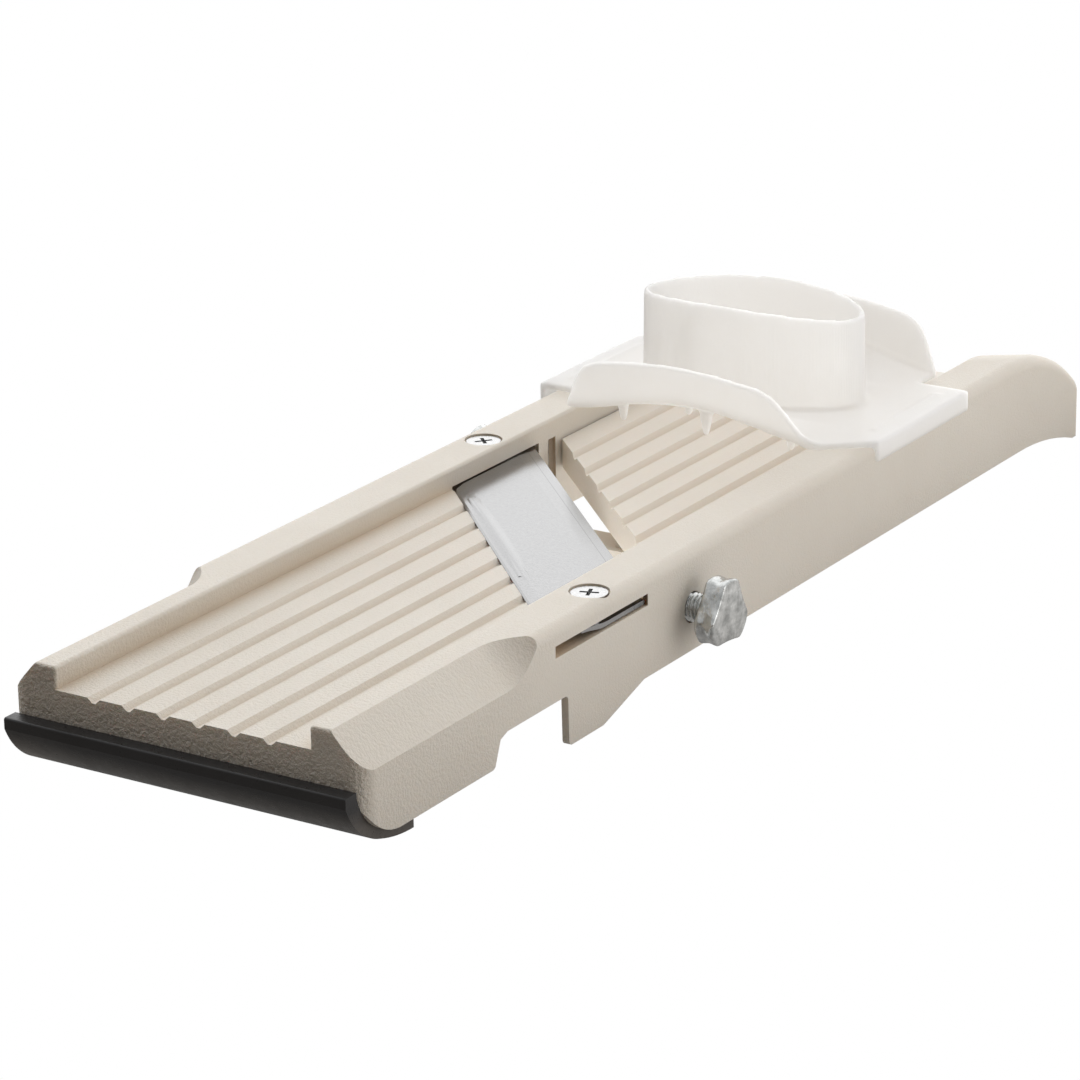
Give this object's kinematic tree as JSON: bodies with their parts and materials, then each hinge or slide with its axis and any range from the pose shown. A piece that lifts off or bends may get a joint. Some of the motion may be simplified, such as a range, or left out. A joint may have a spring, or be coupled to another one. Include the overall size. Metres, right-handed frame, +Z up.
{
  "type": "mandoline slicer",
  "caption": "Hand-held mandoline slicer: grooved bed between rails, slanted blade, tilting feed table set by a screw, side clamp screws and a sliding finger guard.",
  "frame": {"origin": "under the middle of the bounding box, on the resting plane", "axes": "+Z up, +Y along the length from the rubber-footed front end to the handle end, +X to the right seen from the front end"},
  "size_m": [0.112, 0.336, 0.0562],
  "materials": {
    "ivory_plastic": "fine moulded grain",
    "table_plastic": "fine moulded grain",
    "guard_plastic": "milky translucent",
    "black_rubber": "soft matt",
    "blade_steel": "fine ground",
    "screw_steel": "bright plated",
    "zinc": "plated zinc casting",
    "brass": "turned",
    "pad_plastic": "natural nylon"
  },
  "bodies": {
    "frame": {"body_frame": "ivory_plastic", "rubber_foot": "black_rubber", "slicing_blade": "blade_steel", "blade_screws": "screw_steel", "blade_nuts": "screw_steel", "hinge_pin": "screw_steel", "adjuster_bridge": "ivory_plastic", "bridge_screws": "screw_steel", "adjuster_insert": "brass", "right_clamp_insert": "brass", "left_clamp_insert": "brass"},
    "table": {"feed_table": "table_plastic"},
    "pad": {"adjuster_pad": "pad_plastic"},
    "adjuster": {"adjuster_stud": "zinc", "adjuster_head": "zinc"},
    "right_shoe": {"right_clamp_shoe": "pad_plastic"},
    "right_clamp": {"right_clamp_stud": "zinc", "right_clamp_head": "zinc"},
    "left_shoe": {"left_clamp_shoe": "pad_plastic"},
    "left_clamp": {"left_clamp_stud": "zinc", "left_clamp_head": "zinc"},
    "guard": {"finger_guard": "guard_plastic"}
  },
  "joints": [
    {"name": "table_tilt", "type": "hinge", "parent": "frame", "child": "table", "pos_m": [0, 0.09298, 0.0164], "axis": [-0.7071, 0.7071, 0], "range_deg": [-2.74, 0.74]},
    {"name": "pad_lift", "type": "slide", "parent": "frame", "child": "pad", "axis": [0, 0, 1], "range_m": [-0.00261, 0.00071]},
    {"name": "adjuster_turn", "type": "hinge", "parent": "pad", "child": "adjuster", "pos_m": [0.008, 0.00797, 0.0094], "axis": [0, 0, 1], "range_deg": [-936, 252]},
    {"name": "right_shoe_slide", "type": "slide", "parent": "frame", "child": "right_shoe", "axis": [1, 0, 0], "range_m": [-0.00121, 0.00041]},
    {"name": "right_clamp_turn", "type": "hinge", "parent": "right_shoe", "child": "right_clamp", "pos_m": [0.046, -0.03143, 0.0155], "axis": [1, 0, 0], "range_deg": [-432, 144]},
    {"name": "left_shoe_slide", "type": "slide", "parent": "frame", "child": "left_shoe", "axis": [-1, 0, 0], "range_m": [-0.00121, 0.00041]},
    {"name": "left_clamp_turn", "type": "hinge", "parent": "left_shoe", "child": "left_clamp", "pos_m": [-0.046, 0.03558, 0.0155], "axis": [-1, 0, 0], "range_deg": [-432, 144]},
    {"name": "guard_slide", "type": "slide", "parent": "frame", "child": "guard", "axis": [0, 1, 0], "range_m": [-0.195, 0.012]}
  ],
  "couplings": [
    {"joint": "pad_lift", "follows": "adjuster_turn", "m_per_rad": 0.00015915},
    {"joint": "table_tilt", "follows": "adjuster_turn", "ratio": 0.002923},
    {"joint": "right_shoe_slide", "follows": "right_clamp_turn", "m_per_rad": 0.00015915},
    {"joint": "left_shoe_slide", "follows": "left_clamp_turn", "m_per_rad": 0.00015915}
  ]
}
